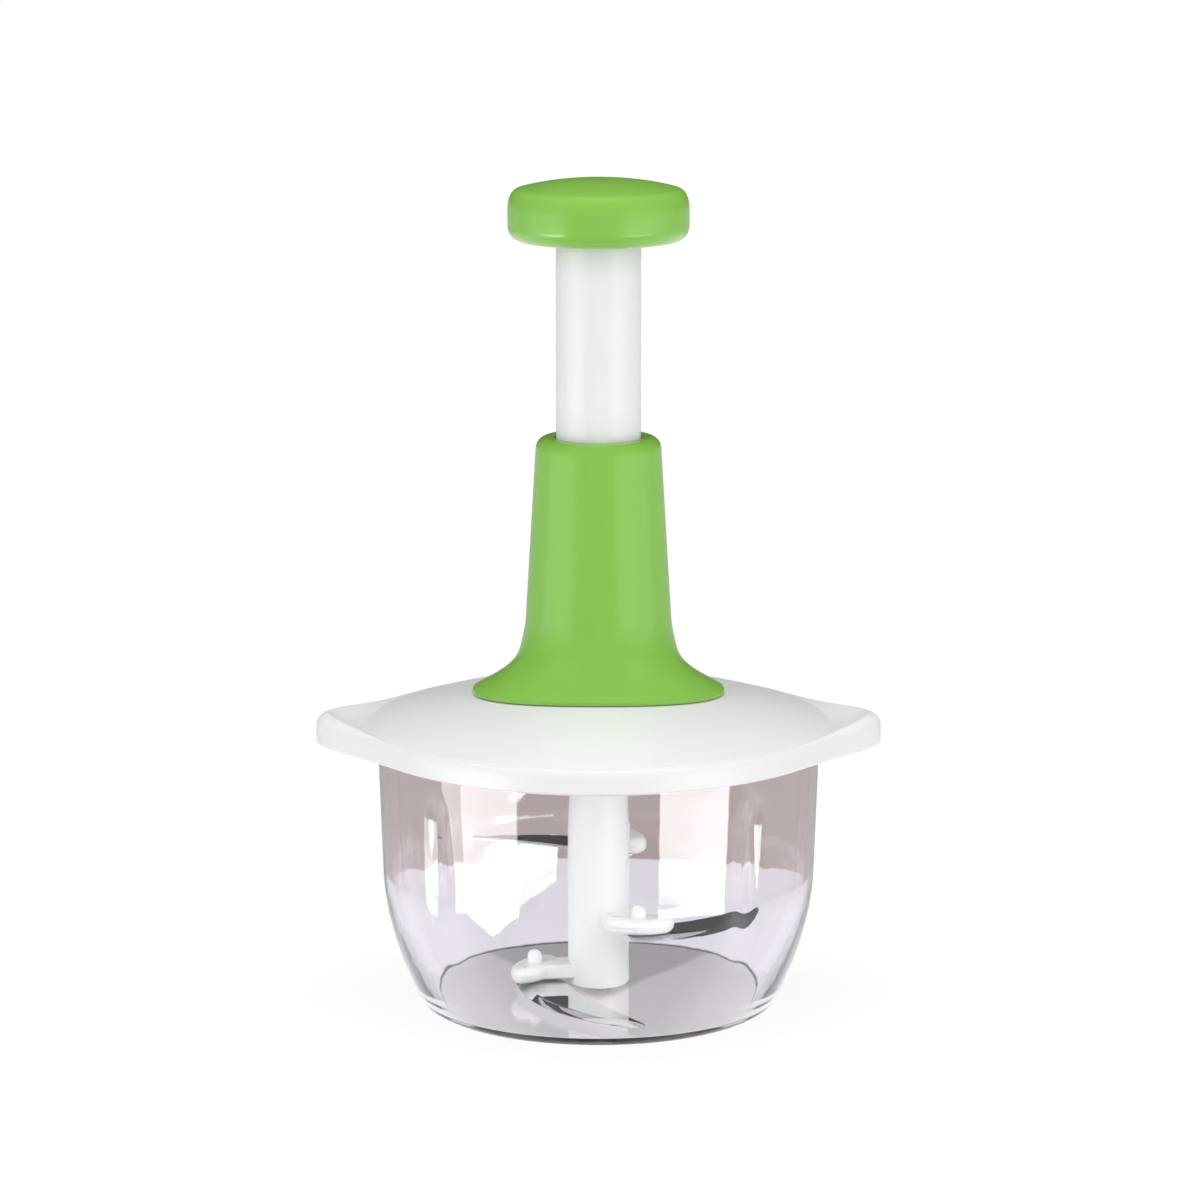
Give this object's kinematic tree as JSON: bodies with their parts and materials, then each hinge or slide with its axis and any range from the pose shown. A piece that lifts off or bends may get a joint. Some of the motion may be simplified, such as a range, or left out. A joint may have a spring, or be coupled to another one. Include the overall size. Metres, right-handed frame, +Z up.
{
  "type": "hand-press food chopper",
  "caption": "Hand-press food chopper: clear bowl with curved blades on a white column, white lid with two ears, green tower, and a white plunger with a round green press knob.",
  "frame": {"origin": "middle of the bowl's foot, on the surface that it stands on", "axes": "+Z up along the plunger, +X towards one ear of the lid, -Y towards the viewer of the picture"},
  "size_m": [0.167, 0.1372, 0.245],
  "materials": {
    "clear_plastic": "clear, polished",
    "white_plastic": "semi-gloss",
    "green_plastic": "gloss",
    "nylon": "natural, matt",
    "silicone": "matt",
    "blade_steel": "polished stainless",
    "spring_steel": "drawn stainless"
  },
  "bodies": {
    "bowl": {"bowl": "clear_plastic", "pivot_pin": "spring_steel"},
    "lid": {"lid_shell": "white_plastic", "mechanism_cover": "white_plastic", "seal_ring": "silicone", "cover_screw_1": "spring_steel", "cover_screw_2": "spring_steel", "cover_screw_3": "spring_steel", "tower_screw_1": "spring_steel", "tower_screw_2": "spring_steel", "tower_screw_3": "spring_steel", "tower_screw_4": "spring_steel", "tower_housing": "green_plastic", "guide_collar": "nylon", "rod_bush": "nylon", "thrust_washer": "spring_steel", "coupling_bush": "nylon", "return_spring": "spring_steel"},
    "plunger": {"plunger_tube": "white_plastic", "press_knob": "green_plastic", "knob_base": "green_plastic", "knob_screw": "spring_steel", "twist_nut": "nylon", "spring_washer": "spring_steel"},
    "drive_shaft": {"drive_rod": "spring_steel", "rod_clip": "spring_steel", "dog_spring": "spring_steel"},
    "clutch_dog": {"drive_dog": "nylon"},
    "output": {"output_coupling": "white_plastic"},
    "blade_rotor": {"blade_column": "white_plastic", "column_bush": "nylon", "blade_lower": "blade_steel", "blade_middle": "blade_steel", "blade_upper": "blade_steel", "blade_pin_lower": "white_plastic", "blade_pin_middle": "white_plastic", "blade_pin_upper": "white_plastic"}
  },
  "joints": [
    {"name": "lid_lift", "type": "slide", "parent": "bowl", "child": "lid", "axis": [0, 0, 1], "range_m": [0, 0.1]},
    {"name": "plunger_press", "type": "slide", "parent": "lid", "child": "plunger", "axis": [0, 0, -1], "range_m": [0, 0.055], "stiffness_N_per_m": 300, "springref_m": -0.03, "deforming": ["return_spring"]},
    {"name": "rod_turn", "type": "hinge", "parent": "lid", "child": "drive_shaft", "pos_m": [0, 0, 0.1], "axis": [0, 0, 1], "range_deg": [-720, 0]},
    {"name": "clutch_slip", "type": "slide", "parent": "drive_shaft", "child": "clutch_dog", "axis": [0, 0, 1], "range_m": [0, 0.0016], "stiffness_N_per_m": 300, "springref_m": -0.003, "deforming": ["dog_spring"]},
    {"name": "coupling_turn", "type": "hinge", "parent": "lid", "child": "output", "pos_m": [0, 0, 0.07], "axis": [0, 0, 1], "range_deg": [-720, 0]},
    {"name": "blade_turn", "type": "hinge", "parent": "bowl", "child": "blade_rotor", "pos_m": [0, 0, 0.01], "axis": [0, 0, 1], "range_deg": [-720, 0]}
  ],
  "couplings": [
    {"joint": "rod_turn", "follows": "plunger_press", "rad_per_m": -228.48},
    {"joint": "coupling_turn", "follows": "plunger_press", "rad_per_m": -228.48},
    {"joint": "blade_turn", "follows": "plunger_press", "rad_per_m": -228.48}
  ]
}
